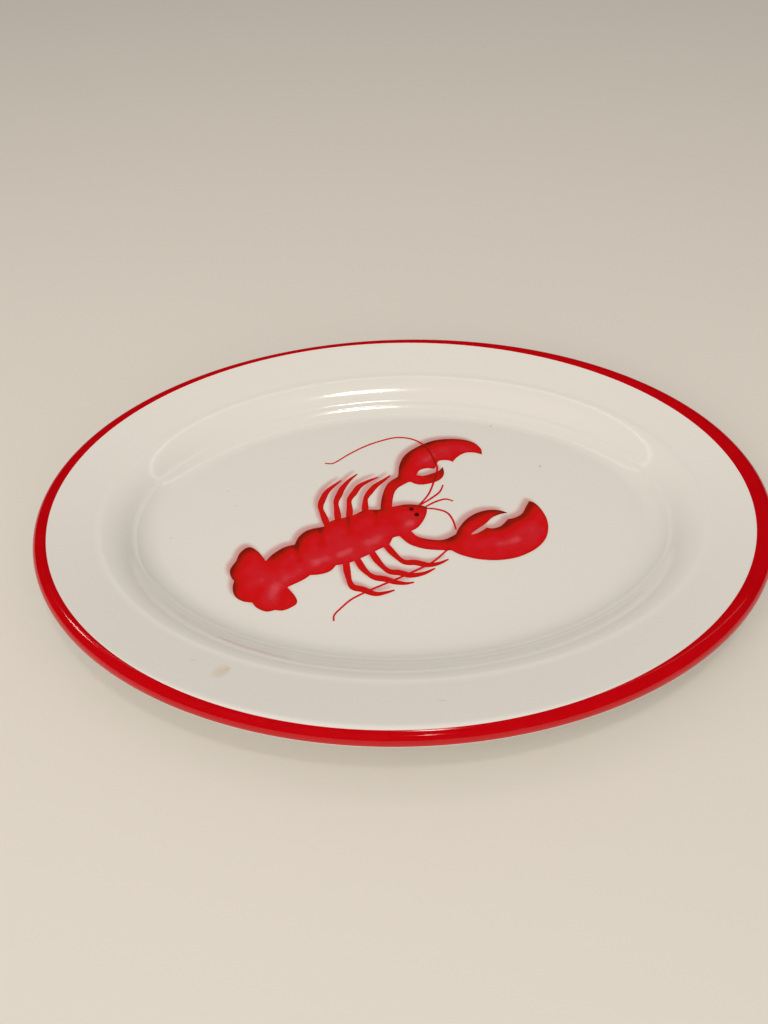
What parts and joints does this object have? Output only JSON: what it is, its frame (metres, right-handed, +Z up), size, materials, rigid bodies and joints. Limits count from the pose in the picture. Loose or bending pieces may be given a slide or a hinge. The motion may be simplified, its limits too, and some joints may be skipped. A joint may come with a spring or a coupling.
{
  "type": "oval serving platter",
  "caption": "Oval melamine serving platter with a wide sloping rim, a rolled red lip, a shallow well with a lobster figure printed in it, and a low foot ring.",
  "frame": {"origin": "centre of the platter, in the plane that its foot ring rests on", "axes": "+X along the length, towards the side where the printed figure's head points; +Y across the width; +Z up, out of the well"},
  "size_m": [0.4084, 0.3076, 0.0305],
  "materials": {
    "white_melamine": "polished moulded melamine, warm white",
    "red_print": "red print under a clear glossy overlay"
  },
  "bodies": {
    "root": {"platter": "white_melamine"}
  },
  "joints": []
}
